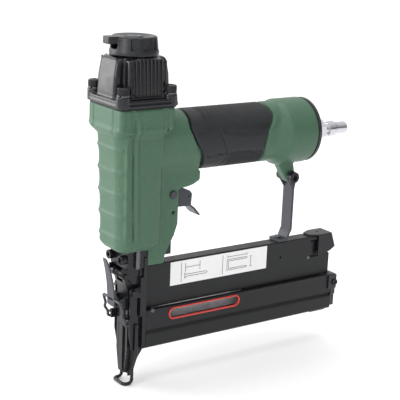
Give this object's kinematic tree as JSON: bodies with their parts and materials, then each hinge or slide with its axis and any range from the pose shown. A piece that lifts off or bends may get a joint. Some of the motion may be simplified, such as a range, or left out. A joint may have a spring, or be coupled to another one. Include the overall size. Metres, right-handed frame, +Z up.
{
  "type": "brad nailer",
  "caption": "Pneumatic brad nailer with a rubber grip handle, two-stage trigger, spring contact nose, quick-release nose door and a straight sliding magazine.",
  "frame": {"origin": "the muzzle: middle of the nose tip on the drive axis, where a brad leaves", "axes": "+Z up along the drive axis to the exhaust deflector, +X along the handle and magazine to the air plug, +Y to the user's left as they hold it"},
  "size_m": [0.2181, 0.0496, 0.2516],
  "materials": {
    "green_paint": "semi-gloss enamel over a fine casting texture",
    "grip_rubber": "matt moulded rubber with fine ribs",
    "black_casting": "satin black enamel",
    "black_plastic": "fine moulded texture",
    "black_steel": "black oxide and oil",
    "grey_steel": "zinc plated, satin",
    "bright_steel": "ground",
    "spring_steel": "drawn wire",
    "nickel": "bright nickel",
    "aluminium": "machined",
    "seal_rubber": "smooth",
    "brass": "turned",
    "red_trim": "gloss",
    "label_white": "coated label, no lettering"
  },
  "bodies": {
    "root": {"body_housing": "green_paint", "handle_grip": "grip_rubber", "cylinder_cap": "black_casting", "cap_gasket": "seal_rubber", "cap_bolts": "black_steel", "cap_washers": "grey_steel", "deflector_screw": "grey_steel", "cylinder_sleeve": "aluminium", "cylinder_orings": "seal_rubber", "bumper": "seal_rubber", "end_cap": "black_plastic", "air_plug": "nickel", "trigger_pin_rod": "grey_steel", "trigger_valve": "black_plastic", "nose_guide": "black_steel", "nose_screws": "black_steel", "guide_posts": "grey_steel", "door_hinge_pin": "grey_steel", "fixed_magazine": "black_casting", "nail_rails": "bright_steel", "magazine_label": "label_white", "brad_strip": "bright_steel", "support_strap": "black_steel", "strap_pin": "black_steel", "strap_screw": "grey_steel", "catch_pin_rod": "grey_steel", "head_valve_spring": "spring_steel", "valve_spring": "spring_steel", "safety_spring": "spring_steel", "door_spring": "spring_steel"},
    "deflector": {"exhaust_deflector": "black_plastic"},
    "head_valve": {"head_valve": "aluminium", "head_valve_seal": "seal_rubber"},
    "driver": {"piston": "aluminium", "piston_ring": "seal_rubber", "driver_blade": "bright_steel"},
    "trigger": {"trigger": "grey_steel", "trigger_lever_pin": "bright_steel"},
    "trigger_lever": {"trigger_lever": "grey_steel"},
    "valve_stem": {"valve_stem": "brass"},
    "nose_door": {"nose_door": "black_steel", "latch_lever_pin": "bright_steel"},
    "latch_lever": {"latch_lever": "grey_steel"},
    "latch_bail": {"latch_bail": "grey_steel"},
    "contact": {"contact_wire": "black_steel", "contact_bracket": "black_steel", "safety_arm": "black_steel", "bracket_screws": "grey_steel"},
    "sliding_magazine": {"sliding_magazine": "black_casting", "window_trim": "red_trim", "end_block": "black_plastic", "end_block_screw": "grey_steel", "magazine_foot": "seal_rubber", "pusher_rod": "bright_steel", "pusher_spring": "spring_steel"},
    "pusher": {"pusher": "grey_steel"},
    "magazine_catch": {"magazine_catch": "grey_steel"}
  },
  "joints": [
    {"name": "deflector_turn", "type": "hinge", "parent": "root", "child": "deflector", "pos_m": [0, 0, 0.24], "axis": [0, 0, 1], "continuous": true},
    {"name": "head_valve_slide", "type": "slide", "parent": "root", "child": "head_valve", "axis": [0, 0, 1], "range_m": [0, 0.004], "stiffness_N_per_m": 1500, "springref_m": -0.004, "deforming": ["head_valve_spring"]},
    {"name": "driver_slide", "type": "slide", "parent": "root", "child": "driver", "axis": [0, 0, -1], "range_m": [0, 0.076]},
    {"name": "trigger_pull", "type": "hinge", "parent": "root", "child": "trigger", "pos_m": [0.0277, 0, 0.1346], "axis": [0, -1, 0], "range_deg": [0, 10], "stiffness_Nm_per_rad": 1.2, "springref_deg": -5.73},
    {"name": "trigger_lever_tilt", "type": "hinge", "parent": "trigger", "child": "trigger_lever", "pos_m": [0.0442, 0, 0.1306], "axis": [0, 1, 0], "range_deg": [0, 26.5]},
    {"name": "valve_stem_slide", "type": "slide", "parent": "root", "child": "valve_stem", "axis": [0, 0, 1], "range_m": [0, 0.0023], "deforming": ["valve_spring"]},
    {"name": "nose_door_open", "type": "hinge", "parent": "root", "child": "nose_door", "pos_m": [-0.008, 0, 0.079], "axis": [0, 1, 0], "range_deg": [0, 24], "stiffness_Nm_per_rad": 0.08, "springref_deg": -17.19},
    {"name": "latch_lever_open", "type": "hinge", "parent": "nose_door", "child": "latch_lever", "pos_m": [-0.0105, 0, 0.0575], "axis": [0, -1, 0], "range_deg": [0, 90]},
    {"name": "latch_bail_swing", "type": "hinge", "parent": "latch_lever", "child": "latch_bail", "pos_m": [-0.0136, 0, 0.0605], "axis": [0, -1, 0], "range_deg": [-90, 0]},
    {"name": "contact_slide", "type": "slide", "parent": "root", "child": "contact", "axis": [0, 0, 1], "range_m": [0, 0.006], "stiffness_N_per_m": 250, "springref_m": -0.012, "deforming": ["safety_spring"]},
    {"name": "magazine_slide", "type": "slide", "parent": "root", "child": "sliding_magazine", "axis": [1, 0, 0], "range_m": [0, 0.11]},
    {"name": "pusher_slide", "type": "slide", "parent": "sliding_magazine", "child": "pusher", "axis": [1, 0, 0], "range_m": [0, 0.052], "stiffness_N_per_m": 40, "springref_m": -0.03, "deforming": ["pusher_spring"]},
    {"name": "catch_release", "type": "hinge", "parent": "root", "child": "magazine_catch", "pos_m": [0.1616, 0, 0.0662], "axis": [0, -1, 0], "range_deg": [0, 12], "stiffness_Nm_per_rad": 0.6, "springref_deg": -11.46}
  ],
  "couplings": [
    {"joint": "valve_stem_slide", "follows": "trigger_pull", "m_per_rad": 0.0126},
    {"joint": "trigger_lever_tilt", "follows": "contact_slide", "rad_per_m": 75.6},
    {"joint": "latch_bail_swing", "follows": "latch_lever_open", "ratio": -1}
  ]
}
